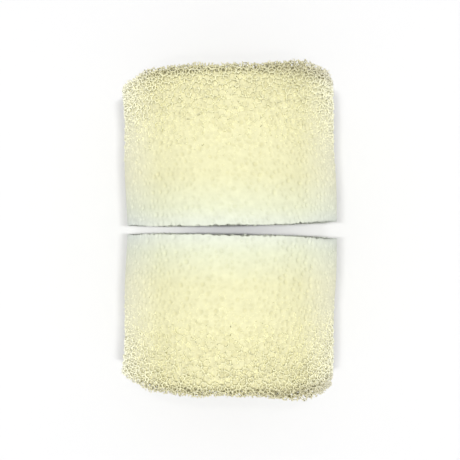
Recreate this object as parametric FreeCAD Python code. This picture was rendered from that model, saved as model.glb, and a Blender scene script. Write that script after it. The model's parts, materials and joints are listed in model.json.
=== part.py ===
import FreeCAD, Part
import os

# A pair of round foam sponge cartridges for an aquarium filter, lying on their sides and end to end.
# Units are millimetres. +Z is up and the common axis of the two sponges runs along Y.
# The origin is on the floor, midway between the sponges.

SPONGE_RADIUS = 31.0      # round outside of each sponge
SPONGE_LENGTH = 41.2      # from cut end to cut end
BORE_RADIUS = 8.0         # hole through the middle, for the filter's strainer tube
FLAT_DEPTH = 0.7          # how far the soft underside has settled where it lies on the floor
RIM_ROUND = 1.2           # soft rounding of each cut rim
GAP = 3.6                 # free space between the two facing ends

AXIS_HEIGHT = SPONGE_RADIUS - FLAT_DEPTH
ALONG = FreeCAD.Vector(0, 1, 0)


def rod(radius, length, start):
    """A solid cylinder about the common axis, from the given Y towards +Y."""
    return Part.makeCylinder(radius, length, FreeCAD.Vector(0, start, AXIS_HEIGHT), ALONG)


def rim_edges(shape, radius):
    """The full circles of that radius, which are the two cut rims of a cylinder."""
    return [
        edge
        for edge in shape.Edges
        if isinstance(edge.Curve, Part.Circle) and abs(edge.Curve.Radius - radius) < 1e-6
    ]


def above_floor(start):
    """A block that covers a whole sponge from the floor upwards."""
    width = 2.4 * SPONGE_RADIUS
    corner = FreeCAD.Vector(-width / 2, start - SPONGE_LENGTH, 0)
    return Part.makeBox(width, 3 * SPONGE_LENGTH, width, corner)


def sponge(start):
    """One cartridge: a round block of foam with softened rims, a through bore and a settled underside."""
    body = rod(SPONGE_RADIUS, SPONGE_LENGTH, start)
    body = body.makeFillet(RIM_ROUND, rim_edges(body, SPONGE_RADIUS))
    body = body.cut(rod(BORE_RADIUS, SPONGE_LENGTH, start))
    return body.common(above_floor(start)).Solids[0]


def write(node, shape):
    """Each piece is one closed solid in a file of its own."""
    assert shape.isValid() and shape.isClosed(), node
    shape.exportStep(f"parts/{node}.step")
    print(node, round(shape.Volume / 1000.0, 2), "cm3")


os.makedirs("parts", exist_ok=True)
write("lower_sponge", sponge(-GAP / 2 - SPONGE_LENGTH))
write("upper_sponge", sponge(GAP / 2))
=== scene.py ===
import json
import math

import bmesh
import bpy
import numpy as np
from mathutils import Matrix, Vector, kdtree


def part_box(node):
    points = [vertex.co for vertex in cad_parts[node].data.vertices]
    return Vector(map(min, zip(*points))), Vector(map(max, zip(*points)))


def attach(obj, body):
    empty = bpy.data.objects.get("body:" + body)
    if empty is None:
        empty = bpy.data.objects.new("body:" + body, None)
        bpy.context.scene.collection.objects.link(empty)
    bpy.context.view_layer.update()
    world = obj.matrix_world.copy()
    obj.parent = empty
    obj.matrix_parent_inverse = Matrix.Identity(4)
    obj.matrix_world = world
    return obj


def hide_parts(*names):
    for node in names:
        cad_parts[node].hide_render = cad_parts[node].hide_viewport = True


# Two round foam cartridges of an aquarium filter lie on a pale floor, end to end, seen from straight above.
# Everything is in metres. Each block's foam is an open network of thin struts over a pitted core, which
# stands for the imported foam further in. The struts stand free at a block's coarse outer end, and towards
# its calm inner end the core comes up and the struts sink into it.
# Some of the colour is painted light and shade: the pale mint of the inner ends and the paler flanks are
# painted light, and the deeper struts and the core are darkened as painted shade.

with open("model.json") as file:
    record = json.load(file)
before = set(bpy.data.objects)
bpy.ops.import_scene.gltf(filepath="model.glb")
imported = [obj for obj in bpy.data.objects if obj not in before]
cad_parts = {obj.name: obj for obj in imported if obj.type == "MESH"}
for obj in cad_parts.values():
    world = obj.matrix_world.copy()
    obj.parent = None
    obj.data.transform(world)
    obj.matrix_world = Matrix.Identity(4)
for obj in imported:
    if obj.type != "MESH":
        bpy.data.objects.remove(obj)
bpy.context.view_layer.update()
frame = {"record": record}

MM = 0.001

# The upper cartridge, from the frame. The lower one is its mirror image.
LOW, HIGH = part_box("upper_sponge")
RADIUS = (HIGH.x - LOW.x) / 2
AXIS_HEIGHT = HIGH.z - RADIUS
BORE_RADIUS = next(m["dims"]["r_mm"] for m in frame["record"]["mounts"] if m["name"] == "upper_bore") * MM
INNER_END = LOW.y
OUTER_END = HIGH.y
MIDDLE = (INNER_END + OUTER_END) / 2

# How the hand-cut block differs from a true cylinder. Angles are from the crown, positive towards +X.
LEAN = -0.03                # sideways drift of the round side, per metre towards the outer end
INNER_SLANT_X = 0.019       # the inner face is cut a little askew, in both directions
INNER_SLANT_Z = -0.022
OUTER_LUMPS = (             # angle and half width in degrees, and how far the rim stands out there
    (42, 20, 2.5 * MM),
    (72, 20, 1.4 * MM),
    (-42, 10, 0.3 * MM),
    (-70, 16, -1.2 * MM),
    (-150, 30, 0.8 * MM),
    (150, 25, -0.6 * MM),
)
SIDE_INSET = 0.25 * MM      # the block's average side lies this far inside the solid's
SIDE_WAVE = 0.25 * MM       # low, broad unevenness of the round side,
SIDE_WAVE_LENGTH = 24 * MM
INNER_WAVE = 0.14 * MM      # of the inner face
INNER_WAVE_LENGTH = 14 * MM
OUTER_WAVE = 0.35 * MM      # and of the outer face
OUTER_WAVE_LENGTH = 11 * MM
RIM_ROUND = 1.6 * MM        # softness of the outer rim
INNER_RIM_ROUND = 0.4 * MM
BORE_RIM_ROUND = 0.5 * MM
INNER_SHOULDER = 4 * MM     # how far in from its rim the inner face's foam opens up

# The network of cells and struts.
CELL = 1.8 * MM             # two foam cells in each cube of this side
STRETCH = (1.08, 0.94, 1.0)
CELL_SCATTER = 0.62         # how far a cell's middle strays, as a share of CELL
MARGIN = 2.2 * CELL         # cells are placed this far past the block's surface and the core's,
WALLED_OUT = 0.5 * CELL     # and their walls are worked out this far past the surface
WALLED_IN = 0.4 * CELL      # and this far into the core
NEIGHBOURS = 32             # cells near enough to share a wall
RELAXED = 0.35              # how far a corner is drawn to the middle of its neighbours, as a film draws it
RELAX_ROUNDS = 2
STRUT = 0.18 * MM           # from a strut's axis to its ridges
STRUT_SPREAD = (0.75, 1.25)
SHORTEST_STUB = 0.08        # of a cut strut, as a share of its whole length
CUT_ROUGH = 0.35 * MM       # how unevenly the cut leaves the struts' ends
RIM_ROUGH = 0.6 * MM        # and how unevenly at the outer rim
RIM_WIDTH = 1.4 * MM        # how far in from the outer rim the foam is rough and darkened with painted shade
SUNK = 0.45 * MM            # how far the struts are sunk at the inner end

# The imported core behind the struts, measured down from the block's surface.
CORE_DEPTH = 1.6 * MM       # at the outer end of the side
PALE_DEPTH = 0.05 * MM      # at the inner end of the side, and at the inner face's rim
END_DEPTH = 1.6 * MM        # under the outer end, and under the inner face within its rim
BORE_DEPTH = 1.2 * MM
PIT_DEPTH = 0.5 * MM        # how deep the open cells go into the core, at the outer end
PALE_PIT_DEPTH = 0.45 * MM  # and at the inner end
PIT_RIM = 0.1               # a pit's slope starts and ends where its cell's middle is nearer by this much
PIT_FLOOR = 0.6             # than the next cell's, in shares of CELL
SHALLOWEST_PIT = 0.6        # as a share of the deepest
ALONG_SHADE = 0.34          # how much of its dark tint, which is painted shade, the core takes by the outer end,
PIT_SHADE = (0.06, 0.26)    # in the middle of a pit, at the inner end and at the outer end,
RIM_SHADE = 0.4             # at the outer rim
INNER_FACE_SHADE = 0.25     # and on the inner face

# How the meshes are divided.
SIDE_PARTS = 4              # stretches of the network round the side
CORE_PARTS = 2              # the core's lower and upper half
CORE_ANGLES = 330           # in each part
CORE_RINGS = {"side": 140, "end": 38, "bore": 32}  # along each stretch of its section
CORE_BORE_RADIUS = BORE_RADIUS + BORE_DEPTH
CORE_OUTER_RADIUS = RADIUS - CORE_DEPTH
CORE_PALE_RADIUS = RADIUS - SIDE_INSET - PALE_DEPTH

# The foam's colours.
FOAM_COLOURS_AND_PAINTED_LIGHT = (            # from the inner end, at 0, to the outer end, at 1; the pale mint at the inner end is painted light
    (0.00, (0.66, 0.69, 0.58)),
    (0.10, (0.68, 0.70, 0.51)),
    (0.30, (0.73, 0.715, 0.455)),
    (0.60, (0.80, 0.78, 0.50)),
    (0.93, (0.84, 0.82, 0.555)),
    (1.00, (0.66, 0.63, 0.43)),
)
MOTTLE_SCALE = 550          # per metre
MOTTLE = (0.87, 1.13)
FLANK_FROM = 0.6 * RADIUS   # painted light: the sides grow paler and less yellow from here outwards,
FLANK_PAINTED_LIGHT = (1.18, 1.20, 1.46)
FLANK_AT_INNER_END = 0.45   # with this share of the tint at the inner end
FLANK_WHOLE_AT = 0.3        # and all of it from this share of the length onwards
# painted shade: the struts darken a little the deeper they lie
WEB_DEPTH_SHADE_TINTS = ((1.0, 1.0, 1.0), (0.97, 0.96, 0.92))
# painted shade: the core darkens by its shade value
CORE_SHADE_TINTS = ((0.88, 0.88, 0.88), (0.42, 0.38, 0.28))

# The camera, the floor and the light.
CAMERA_ABOVE = 7.5 * RADIUS  # over the sponges' axis
LENS = 61.7
FLOOR_RADIUS = 1.4
FLOOR_CORNERS = 120
FLOOR_BELOW = 0.02 * MM     # the floor lies this far under the foam, so that the two surfaces never coincide
LAMP_HEIGHT = 1.2
LAMP_SIZE = (0.1, 0.02)
LAMPS = (                   # name, place and power; most of the light comes along the gap
    ("left", -0.185, 0, 5.7),
    ("right", 0.185, 0, 5.7),
    ("upper", 0, 0.27, 0.8),
    ("lower", 0, -0.27, 0.8),
)
SKY_FADE = (0.1, 0.5)       # how far up the backdrop starts and ends to fade, from 0 level to 1 overhead,
SKY_STRENGTH = (1.0, 0.53)  # and its brightness at each


# ---------------------------------------------------------------- small tools


def waves(points, length, seed, count=7):
    """Smooth noise between about -1 and 1 that varies over the given length."""
    rng = np.random.default_rng(seed)
    total = np.zeros(points.shape[:-1])
    for _ in range(count):
        direction = rng.normal(size=3)
        direction *= rng.uniform(0.6, 1.4) / np.linalg.norm(direction)
        total += np.cos(points @ direction * (2 * math.pi / length) + rng.uniform(0, 2 * math.pi))
    return total / math.sqrt(count)


def smooth_max(a, b, width):
    """The larger of two numbers, rounded off where they are within width of each other."""
    near = np.clip(width - np.abs(a - b), 0, None) / width
    return np.maximum(a, b) + near * near * width / 4


def eased(share):
    """The same share between 0 and 1, with a soft start and a soft end."""
    return share * share * (3 - 2 * share)


def unit(vectors):
    return vectors / np.maximum(np.linalg.norm(vectors, axis=-1, keepdims=True), 1e-12)


def dot(a, b):
    return (a * b).sum(-1)


def tree_of(points):
    """A search tree that finds the nearest of the points."""
    tree = kdtree.KDTree(len(points))
    for index, point in enumerate(points):
        tree.insert(point, index)
    tree.balance()
    return tree


# ---------------------------------------------------------------- the block's outside


def outer_lump(angle):
    """How far the outer rim stands out at that angle from the crown."""
    total = np.zeros_like(angle)
    for middle, width, height in OUTER_LUMPS:
        away = (np.degrees(angle) - middle + 180) % 360 - 180
        total += height * np.exp(-((away / width) ** 2))
    return total


def faces_of(points):
    """The signed distance from each of the block's own surfaces: side, inner end, outer end, bore, floor."""
    x, y, z = points[..., 0], points[..., 1], points[..., 2] - AXIS_HEIGHT
    shifted = x - LEAN * (y - MIDDLE)
    out = np.hypot(shifted, z)
    angle = np.arctan2(shifted, z)
    side = out - RADIUS + SIDE_INSET - SIDE_WAVE * waves(points, SIDE_WAVE_LENGTH, seed=3)
    inner = INNER_END + INNER_SLANT_X * x + INNER_SLANT_Z * z - y
    inner -= INNER_WAVE * waves(points, INNER_WAVE_LENGTH, seed=4)
    near_rim = np.clip(out / RADIUS, 0, 1) ** 2
    outer = y - OUTER_END - outer_lump(angle) * near_rim
    outer -= OUTER_WAVE * waves(points, OUTER_WAVE_LENGTH, seed=5)
    bore = BORE_RADIUS - np.hypot(x, z)
    return side, inner, outer, bore, -points[..., 2]


def outside(points):
    """The signed distance from the block: positive outside it, and minus the depth inside it."""
    side, inner, outer, bore, floor = faces_of(points)
    block = smooth_max(side, outer, RIM_ROUND)
    block = smooth_max(block, inner, INNER_RIM_ROUND)
    block = smooth_max(block, bore, BORE_RIM_ROUND)
    return np.maximum(block, floor)


def along(points):
    """0 at a sponge's inner end and 1 at its outer end."""
    return np.clip((points[..., 1] - INNER_END) / (OUTER_END - INNER_END), 0, 1)


def near_outer_rim(points):
    """1 at the outer rim, fading to 0 away from it."""
    side, _, outer, _, _ = faces_of(points)
    return np.exp(-((outer / RIM_WIDTH) ** 2 + (side / (2 * RIM_WIDTH)) ** 2))


def inner_face(points):
    """1 on the inner face, fading to 0 at its pale rim and further into the block."""
    side, inner, _, _, _ = faces_of(points)
    from_rim = np.clip(-side / INNER_SHOULDER, 0, 1)
    return eased(from_rim) * np.exp(-((inner / INNER_SHOULDER) ** 2))


def outside_core(points):
    """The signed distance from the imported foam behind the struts, before its pits."""
    side, inner, outer, bore, floor = faces_of(points)
    depth = PALE_DEPTH + (CORE_DEPTH - PALE_DEPTH) * along(points) ** 3
    core = smooth_max(np.maximum(side, floor) + depth, outer + END_DEPTH, RIM_ROUND)
    inner_depth = PALE_DEPTH + (END_DEPTH - PALE_DEPTH) * inner_face(points)
    core = smooth_max(core, inner + inner_depth, INNER_RIM_ROUND)
    return smooth_max(core, bore + BORE_DEPTH, BORE_RIM_ROUND)


def pit_depth(points):
    return PALE_PIT_DEPTH + (PIT_DEPTH - PALE_PIT_DEPTH) * along(points) ** 2


# ---------------------------------------------------------------- the foam's network

# Row k holds the numbers from 0 to 3 other than k.
OTHERS = np.array([[j for j in range(4) if j != k] for k in range(4)])


class Network:
    """The open-cell network of one block: the corners where four cells meet, and the struts between them.

    Ridge j of a corner points into the corner's cell j. Strut k of a corner runs between the three cells
    other than k, so the three ridges other than k run on along it.
    """

    def __init__(self, seed):
        self.rng = np.random.default_rng(seed)
        self.centres = self.cell_centres()
        self.tree = tree_of(self.centres)
        self.cells = self.corners_of(self.centres)
        self.places = self.corner_places()
        self.find_struts()
        self.relax()
        away = unit(self.centres[self.cells] - self.places[:, None])
        thick = STRUT * self.rng.uniform(*STRUT_SPREAD, (len(self.places), 1, 1))
        self.ridges = self.places[:, None] + away * thick
        self.ridges[..., 2] = np.maximum(self.ridges[..., 2], 0)
        self.out = self.outside_cut()

    def cell_centres(self):
        """The middles of the foam's cells, evenly but loosely packed, wherever struts may show."""
        axes, _ = np.linalg.qr(self.rng.normal(size=(3, 3)))
        reach = math.ceil(0.75 * max(2 * RADIUS, OUTER_END - INNER_END) / CELL) + 4
        cubes = np.stack(np.meshgrid(*[np.arange(-reach, reach)] * 3, indexing="ij"), -1).reshape(-1, 3)
        packed = np.concatenate([cubes, cubes + 0.5])
        packed = packed + CELL_SCATTER * self.rng.uniform(-0.5, 0.5, packed.shape)
        centres = packed @ axes.T * CELL * STRETCH + [0, MIDDLE, AXIS_HEIGHT]
        return centres[(outside(centres) < MARGIN) & (outside_core(centres) > -MARGIN)]

    def corners_of(self, centres):
        """Every set of four cells that meet in a corner, from the hull of each cell's mirrored neighbours."""
        wanted = (outside(centres) < WALLED_OUT) & (outside_core(centres) > -WALLED_IN)
        found = []
        for index in np.nonzero(wanted)[0]:
            near = [k for _, k, _ in self.tree.find_n(centres[index], NEIGHBOURS + 1)][1:]
            away = centres[near] - centres[index]
            mirrored = away / dot(away, away)[:, None] * CELL
            hull = bmesh.new()
            points = [hull.verts.new(place) for place in mirrored]
            hull.verts.index_update()
            bmesh.ops.convex_hull(hull, input=points)
            for face in hull.faces:
                found.append([index] + [near[point.index] for point in face.verts])
            hull.free()
        cells, times = np.unique(np.sort(np.array(found), axis=1), axis=0, return_counts=True)
        return cells[times >= wanted[cells].sum(1) - 1]

    def corner_places(self):
        """The place equally far from its four cells' middles, or their mean where they lie almost flat."""
        middles = self.centres[self.cells]
        sides = middles[:, 1:] - middles[:, :1]
        flat = np.abs(np.linalg.det(sides / CELL)) < 1e-3
        sides[flat] = np.eye(3) * CELL
        places = middles[:, 0] + np.linalg.solve(2 * sides, dot(sides, sides)[..., None])[..., 0]
        strayed = flat | (np.linalg.norm(places - middles.mean(1), axis=1) > CELL)
        return np.where(strayed[:, None], middles.mean(1), places)

    def find_struts(self):
        """Each strut once: the corners at its two ends, and its number at each."""
        walls = self.cells[:, OTHERS].reshape(-1, 3)
        key = (walls[:, 0] * len(self.centres) + walls[:, 1]) * len(self.centres) + walls[:, 2]
        order = np.argsort(key, kind="stable")
        same = np.nonzero(key[order][1:] == key[order][:-1])[0]
        same = same[np.concatenate([[True], np.diff(same) > 1])]
        one, other = order[same], order[same + 1]
        self.start, self.number = one // 4, one % 4
        self.end, self.far_number = other // 4, other % 4

    def relax(self):
        """Draws each corner towards the middle of its neighbours."""
        for _ in range(RELAX_ROUNDS):
            total = np.zeros_like(self.places)
            count = np.zeros(len(self.places))
            for here, there in ((self.start, self.end), (self.end, self.start)):
                np.add.at(total, here, self.places[there])
                np.add.at(count, here, 1)
            whole = count == 4
            middle = total[whole] / 4
            self.places[whole] += RELAXED * (middle - self.places[whole])

    def outside_cut(self):
        """How far each corner lies outside the rough cut surface, which is deeper where struts are sunk."""
        rough = CUT_ROUGH + (RIM_ROUGH - CUT_ROUGH) * near_outer_rim(self.places)
        out = outside(self.places) + rough * self.rng.uniform(-0.5, 0.5, len(self.places))
        return out + SUNK * (1 - along(self.places)) ** 1.5 * (1 - inner_face(self.places))

    def openness(self, points):
        """0 on the walls between the cells and 1 in the middle of the most open cells."""
        near = [self.tree.find_n(point, 2) for point in points]
        cell = np.array([first[1] for first, _ in near])
        inward = np.array([second[2] - first[2] for first, second in near]) / CELL
        slope = np.clip((inward - PIT_RIM) / (PIT_FLOOR - PIT_RIM), 0, 1)
        open_share = np.random.default_rng(0).uniform(SHALLOWEST_PIT, 1, len(self.centres))
        return eased(slope) * open_share[cell]


# ---------------------------------------------------------------- meshes


def mesh_object(name, points, quads, triangles, points_uv=None, attributes=()):
    """A smooth mesh of quads and triangles, with its bake map and its point attributes."""
    mesh = bpy.data.meshes.new(name)
    corners = np.concatenate([quads.ravel(), triangles.ravel()]).astype(np.int32)
    sizes = np.concatenate([np.full(len(quads), 4), np.full(len(triangles), 3)])
    starts = np.concatenate([[0], np.cumsum(sizes)[:-1]]).astype(np.int32)
    mesh.vertices.add(len(points))
    mesh.vertices.foreach_set("co", points.astype(np.float32).ravel())
    mesh.loops.add(len(corners))
    mesh.loops.foreach_set("vertex_index", corners)
    mesh.polygons.add(len(sizes))
    mesh.polygons.foreach_set("loop_start", starts)
    mesh.update(calc_edges=True)
    mesh.shade_smooth()
    if points_uv is not None:
        layer = mesh.uv_layers.new(name="OFBake")
        layer.uv.foreach_set("vector", points_uv[corners].astype(np.float32).ravel())
    for title, values in attributes:
        mesh.attributes.new(title, "FLOAT", "POINT").data.foreach_set("value", values.astype(np.float32))
    obj = bpy.data.objects.new(name, mesh)
    bpy.context.scene.collection.objects.link(obj)
    return obj


def triangle_normals(points, triangles):
    a, b, c = (points[triangles[:, i]] for i in range(3))
    return np.cross(b - a, c - a)


def outward(triangles, points, inside):
    """The same triangles, turned where needed so that each faces away from its inside point."""
    away = points[triangles].sum(1) / 3 - inside
    facing = dot(triangle_normals(points, triangles), away) > 0
    return np.where(facing[:, None], triangles, triangles[:, ::-1])


class Struts:
    """The chosen struts of a network, each running outwards from a start inside the cut surface."""

    def __init__(self, net, chosen):
        swap = (net.out[net.start] > 0)[chosen]
        start, end = net.start[chosen], net.end[chosen]
        number, far_number = net.number[chosen], net.far_number[chosen]
        self.start, self.end = np.where(swap, end, start), np.where(swap, start, end)
        self.number, self.far_number = np.where(swap, far_number, number), np.where(swap, number, far_number)
        self.near_ridge, self.far_ridge = OTHERS[self.number], OTHERS[self.far_number]
        self.cut = net.out[self.end] > 0

    def tips(self, net):
        """Where the ridges of the cut struts end."""
        cut, start, end = self.cut, self.start, self.end
        share = (net.out[start] / (net.out[start] - net.out[end]))[cut, None, None]
        from_ridges = net.ridges[start[cut, None], self.near_ridge[cut]]
        to_ridges = net.ridges[end[cut, None], self.far_ridge[cut]]
        return from_ridges + np.clip(share, SHORTEST_STUB, 1.0) * (to_ridges - from_ridges)


def web_mesh(name, net, chosen, unrolled):
    """The chosen struts as one closed mesh: three ridges along each strut, shared where struts meet."""
    struts = Struts(net, chosen)
    cut = struts.cut
    used, place = np.unique(np.concatenate([struts.start, struts.end[~cut]]), return_inverse=True)
    at_start = place[: len(cut)]
    at_end = np.zeros(len(cut), int)
    at_end[~cut] = place[len(cut) :]
    corner_points = net.ridges[used].reshape(-1, 3)
    tips = struts.tips(net)
    points = np.concatenate([corner_points, tips.reshape(-1, 3)])

    near = 4 * at_start[:, None] + struts.near_ridge
    far = 4 * at_end[:, None] + struts.far_ridge
    far[cut] = len(corner_points) + np.arange(3 * len(tips)).reshape(-1, 3)
    flip = dot(triangle_normals(points, near), net.places[struts.end] - net.places[struts.start]) < 0
    near[flip] = near[flip][:, [0, 2, 1]]
    far[flip] = far[flip][:, [0, 2, 1]]
    sides = [[near[:, i], near[:, (i + 1) % 3], far[:, (i + 1) % 3], far[:, i]] for i in range(3)]
    quads = np.concatenate([np.stack(side, 1) for side in sides])

    joined = np.zeros((len(used), 4), bool)
    joined[at_start, struts.number] = True
    joined[at_end[~cut], struts.far_number[~cut]] = True
    corner, free = np.nonzero(~joined)
    caps = outward(4 * corner[:, None] + OTHERS[free], points, net.places[used][corner])
    tip_caps = outward(far[cut], points, net.places[struts.start][cut])
    triangles = np.concatenate([caps, tip_caps])

    # Painted shade: how deep each point lies, which darkens the deeper struts a little.
    depth = np.clip(-outside(points) / PIT_DEPTH, 0, 1)
    return mesh_object(name, points, quads, triangles, unrolled(points), [("depth", depth)])


def fitted(flat):
    """A flat map of points, fitted to the unit square."""
    low, high = flat.min(0), flat.max(0)
    return (flat - low) / (high - low)


def unroll_side(middle):
    """How points round the axis are laid out flat, cut open opposite the middle angle."""

    def unrolled(points):
        angle = np.arctan2(points[:, 0], points[:, 2] - AXIS_HEIGHT) - middle
        angle = (angle + math.pi) % (2 * math.pi) - math.pi
        return fitted(np.stack([angle, points[:, 1]], 1))

    return unrolled


def unroll_end(points):
    return fitted(points[:, [0, 2]])


def regions(points):
    """Which stretch of the surface each point lies under: a quarter of the side, an end, or the bore."""
    side, inner, outer, bore, floor = faces_of(points)
    nearest = np.argmax(np.stack([np.maximum(side, floor), inner, outer, bore]), axis=0)
    angle = np.arctan2(points[:, 0], points[:, 2] - AXIS_HEIGHT)
    quarter = np.floor((angle + math.pi) / (2 * math.pi) * SIDE_PARTS).astype(int) % SIDE_PARTS
    return np.where(nearest == 0, quarter, SIDE_PARTS - 1 + nearest)


def web_parts():
    """The name of each stretch and how its surface unrolls flat."""
    parts = []
    for k in range(SIDE_PARTS):
        middle = (k + 0.5) / SIDE_PARTS * 2 * math.pi - math.pi
        parts.append((f"web_side_{k + 1}", unroll_side(middle)))
    parts += [("web_inner_end", unroll_end), ("web_outer_end", unroll_end), ("web_bore", unroll_side(0))]
    return parts


def core_profile():
    """The core's closed section, from the bore's inner end round: rows of radius and share of the length."""
    bore_r, outer_r, pale_r = CORE_BORE_RADIUS, CORE_OUTER_RADIUS, CORE_PALE_RADIUS
    outline = (
        ((bore_r, 0), (bore_r, 1), CORE_RINGS["bore"]),
        ((bore_r, 1), (outer_r, 1), CORE_RINGS["end"]),
        ((outer_r, 1), (pale_r, 0), CORE_RINGS["side"]),
        ((pale_r, 0), (bore_r, 0), CORE_RINGS["end"]),
    )
    rows = [np.linspace(start, end, count, endpoint=False) for start, end, count in outline]
    return np.concatenate([*rows, rows[0][:1]])


def core_points(number):
    """A smooth grid on the surface of that half of the core: along the profile, and round the axis."""
    profile = core_profile()
    radius, share = profile[:, None, 0], profile[:, None, 1]
    angle = (np.linspace(0, 1, CORE_ANGLES) + number) / CORE_PARTS * 2 * math.pi + math.pi / 2
    across, up = np.sin(angle), np.cos(angle)
    rim_x, rim_z = CORE_OUTER_RADIUS * across, AXIS_HEIGHT + CORE_OUTER_RADIUS * up
    _, inner, outer, _, _ = faces_of(np.stack([rim_x, MIDDLE + 0 * angle, rim_z], -1))
    low_y, high_y = MIDDLE + inner + PALE_DEPTH, MIDDLE - outer - END_DEPTH
    points = np.stack([radius * across, low_y + share * (high_y - low_y), AXIS_HEIGHT + radius * up], -1)
    for _ in range(3):
        points = points + onto_core(points)
    return points


def onto_core(points, deeper=0.0):
    """The move that brings each point straight onto the core's surface, or that much deeper."""
    tiny = 0.01 * MM
    flattest = 0.3
    here = outside_core(points)
    slope = np.stack([outside_core(points + tiny * axis) - here for axis in np.eye(3)], -1) / tiny
    slope = slope / np.maximum(dot(slope, slope), flattest)[..., None]
    return -(here + deeper)[..., None] * slope


def core_shade(points, pit):
    """How much of the dark tint, painted shade, each point takes: most in the pits and at the outer rim."""
    reached = along(points)
    low, high = PIT_SHADE
    painted_shade = ALONG_SHADE * reached + pit * (low + (high - low) * reached)
    return painted_shade + RIM_SHADE * near_outer_rim(points) + INNER_FACE_SHADE * inner_face(points)


def core_mesh(name, net, number):
    """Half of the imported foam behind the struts, in a ring round the bore, with a pit for every open cell."""
    grid = core_points(number)
    shape = grid.shape[:2]
    points = grid.reshape(-1, 3)
    pit = net.openness(points)
    painted_shade = core_shade(points, pit)
    points = points + onto_core(points, pit * pit_depth(points))
    index = np.arange(len(points)).reshape(shape)
    quads = np.stack([index[:-1, :-1], index[1:, :-1], index[1:, 1:], index[:-1, 1:]], -1).reshape(-1, 4)
    place = np.stack(np.meshgrid(*[np.linspace(0, 1, count) for count in shape], indexing="ij"), -1)
    empty = np.zeros((0, 3), int)
    return mesh_object(name, points, quads, empty, place.reshape(-1, 2), [("painted_shade", painted_shade)])


# ---------------------------------------------------------------- materials


class Nodes:
    """One material's node tree, with short ways to add the few kinds of node used here."""

    def __init__(self, material):
        material.use_nodes = True
        self.nodes, self.links = material.node_tree.nodes, material.node_tree.links
        self.shader = self.nodes["Principled BSDF"]

    def add(self, kind, **settings):
        node = self.nodes.new(kind)
        for name, value in settings.items():
            setattr(node, name, value)
        return node

    def size_of(self, value):
        """The value without its sign."""
        node = self.add("ShaderNodeMath", operation="ABSOLUTE")
        self.links.new(value, node.inputs[0])
        return node.outputs[0]

    def mapped(self, value, from_range, to_range=(0, 1)):
        """A map range node that takes the one range to the other."""
        node = self.add("ShaderNodeMapRange")
        node.inputs["From Min"].default_value, node.inputs["From Max"].default_value = from_range
        node.inputs["To Min"].default_value, node.inputs["To Max"].default_value = to_range
        self.links.new(value, node.inputs["Value"])
        return node

    def blended(self, factor, colours):
        """The first colour where the factor is 0 and the second where it is 1."""
        node = self.add("ShaderNodeMix", data_type="RGBA")
        node.inputs["A"].default_value = (*colours[0], 1)
        node.inputs["B"].default_value = (*colours[1], 1)
        self.links.new(factor, node.inputs["Factor"])
        return node.outputs["Result"]

    def multiplied(self, one, other):
        node = self.add("ShaderNodeMix", data_type="RGBA", blend_type="MULTIPLY")
        node.inputs["Factor"].default_value = 1
        self.links.new(one, node.inputs["A"])
        self.links.new(other, node.inputs["B"])
        return node.outputs["Result"]

    def ramp(self, value, stops):
        node = self.add("ShaderNodeValToRGB")
        while len(node.color_ramp.elements) < len(stops):
            node.color_ramp.elements.new(0.5)
        for element, (place, colour) in zip(node.color_ramp.elements, stops):
            element.position = place
            element.color = (*colour, 1)
        self.links.new(value, node.inputs["Fac"])
        return node.outputs["Color"]


def foam_material(name, attribute, tints):
    """Cream foam: pale mint at the inner end, which is painted light, cream along the side and tan at the outer
    rim, with painted light on the flanks.

    tints are what the attribute multiplies the colour by, at 0 and at 1, as painted shade.
    """
    material = bpy.data.materials.new(name)
    tree = Nodes(material)
    tree.shader.inputs["Roughness"].default_value = 0.75
    tree.shader.inputs["Specular IOR Level"].default_value = 0.1

    coordinates = tree.add("ShaderNodeTexCoord")
    split = tree.add("ShaderNodeSeparateXYZ")
    tree.links.new(coordinates.outputs["Object"], split.inputs["Vector"])
    # The colour along the block, from the ramp; its pale mint at the inner end is painted light.
    reach = tree.mapped(tree.size_of(split.outputs["Y"]), (INNER_END, OUTER_END)).outputs["Result"]
    colour = tree.ramp(reach, FOAM_COLOURS_AND_PAINTED_LIGHT)

    noise = tree.add("ShaderNodeTexNoise")
    noise.inputs["Scale"].default_value = MOTTLE_SCALE
    noise.inputs["Detail"].default_value = 4
    tree.links.new(coordinates.outputs["Object"], noise.inputs["Vector"])
    mottle = tree.mapped(noise.outputs["Fac"], (0, 1), MOTTLE).outputs["Result"]

    # Painted light: the flanks grow paler and less yellow towards the sides, with less of it at the inner end.
    flank = tree.mapped(tree.size_of(split.outputs["X"]), (FLANK_FROM, RADIUS))
    fading = tree.mapped(reach, (0, FLANK_WHOLE_AT), (FLANK_AT_INNER_END, 1))
    tree.links.new(fading.outputs["Result"], flank.inputs["To Max"])
    painted_flank_light = tree.blended(flank.outputs["Result"], ((1, 1, 1), FLANK_PAINTED_LIGHT))
    colour = tree.multiplied(colour, tree.multiplied(painted_flank_light, mottle))

    # Painted shade: the attribute darkens the deeper struts, and the core in its pits, towards the outer end,
    # at the outer rim and on the inner face.
    value = tree.add("ShaderNodeAttribute", attribute_name=attribute)
    colour = tree.multiplied(colour, tree.blended(value.outputs["Fac"], tints))
    tree.links.new(colour, tree.shader.inputs["Base Color"])
    return material


# ---------------------------------------------------------------- camera, floor and light


def make_camera():
    data = bpy.data.cameras.new("camera")
    data.sensor_width = 36
    data.lens = LENS
    data.clip_start = 0.01
    camera = bpy.data.objects.new("camera", data)
    camera.location = (0, 0, AXIS_HEIGHT + CAMERA_ABOVE)
    bpy.context.scene.collection.objects.link(camera)
    bpy.context.scene.camera = camera


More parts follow.
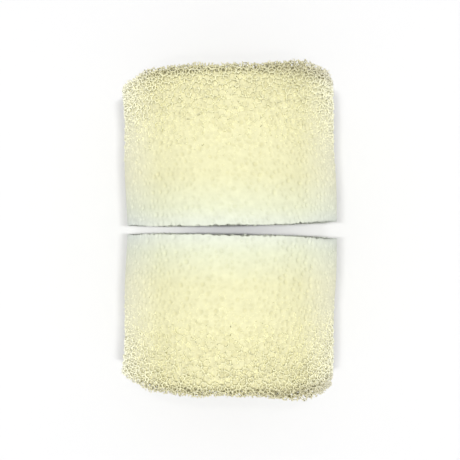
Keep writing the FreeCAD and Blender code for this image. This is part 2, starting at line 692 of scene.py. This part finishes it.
def make_floor():
    angle = np.linspace(0, 2 * math.pi, FLOOR_CORNERS, endpoint=False)
    x, y = FLOOR_RADIUS * np.cos(angle), FLOOR_RADIUS * np.sin(angle)
    corners = np.stack([x, y, 0 * angle - FLOOR_BELOW], -1)
    fan = np.array([[0, k, k + 1] for k in range(1, FLOOR_CORNERS - 1)])
    floor = mesh_object("floor", corners, np.zeros((0, 4), int), fan)
    material = bpy.data.materials.new("floor")
    shader = Nodes(material).shader
    shader.inputs["Base Color"].default_value = (0.70, 0.70, 0.705, 1)
    shader.inputs["Roughness"].default_value = 0.9
    floor.data.materials.append(material)


def make_lamps():
    """Four small soft lamps high above the camera, which shine straight down."""
    for name, x, y, power in LAMPS:
        data = bpy.data.lights.new(name, "AREA")
        data.shape = "ELLIPSE"
        data.size, data.size_y = LAMP_SIZE
        data.energy = power
        obj = bpy.data.objects.new(name, data)
        obj.location = (x, y, LAMP_HEIGHT)
        bpy.context.scene.collection.objects.link(obj)


def make_world():
    """A pale studio all round: bright low down, where it stands as the backdrop, and dimmer overhead."""
    world = bpy.data.worlds.new("studio")
    world.use_nodes = True
    nodes, links = world.node_tree.nodes, world.node_tree.links
    background = nodes["Background"]
    background.inputs["Color"].default_value = (1, 1, 1, 1)
    direction = nodes.new("ShaderNodeTexCoord")
    split = nodes.new("ShaderNodeSeparateXYZ")
    links.new(direction.outputs["Generated"], split.inputs["Vector"])
    fade = nodes.new("ShaderNodeMapRange")
    fade.inputs["From Min"].default_value, fade.inputs["From Max"].default_value = SKY_FADE
    fade.inputs["To Min"].default_value, fade.inputs["To Max"].default_value = SKY_STRENGTH
    links.new(split.outputs["Z"], fade.inputs["Value"])
    links.new(fade.outputs["Result"], background.inputs["Strength"])
    bpy.context.scene.world = world


# ---------------------------------------------------------------- the two sponges

MIRROR_Y = Matrix.Diagonal((1, -1, 1, 1))


def web_pieces(title, net, material):
    """The stretches of one sponge's strut network, without the struts that are buried in the core."""
    middle = (net.places[net.start] + net.places[net.end]) / 2
    shown = np.minimum(net.out[net.start], net.out[net.end]) < 0
    shown &= outside_core(middle) > -pit_depth(middle)
    region = regions(middle)
    for number, (part, unrolled) in enumerate(web_parts()):
        piece = web_mesh(f"{title}_{part}", net, shown & (region == number), unrolled)
        piece.data.materials.append(material)
        yield piece


def core_pieces(title, net, material):
    for number in range(CORE_PARTS):
        piece = core_mesh(f"{title}_core_{number + 1}", net, number)
        piece.data.materials.append(material)
        yield piece


def make_sponge(title, body, node, seed, mirrored, materials):
    """One sponge: its core and the stretches of its strut network."""
    net = Network(seed)
    pieces = [*web_pieces(title, net, materials["web"]), *core_pieces(title, net, materials["core"])]
    for piece in pieces:
        if mirrored:
            piece.data.transform(MIRROR_Y)
            piece.data.flip_normals()
        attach(piece, body)
        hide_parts(node)


make_camera()
make_floor()
make_lamps()
make_world()
bpy.context.scene.view_settings.view_transform = "Standard"
foam = {
    "web": foam_material("foam_struts", "depth", WEB_DEPTH_SHADE_TINTS),
    "core": foam_material("foam_core", "painted_shade", CORE_SHADE_TINTS),
}
make_sponge("upper", "upper_cartridge", "upper_sponge", seed=11, mirrored=False, materials=foam)
make_sponge("lower", "lower_cartridge", "lower_sponge", seed=57, mirrored=True, materials=foam)
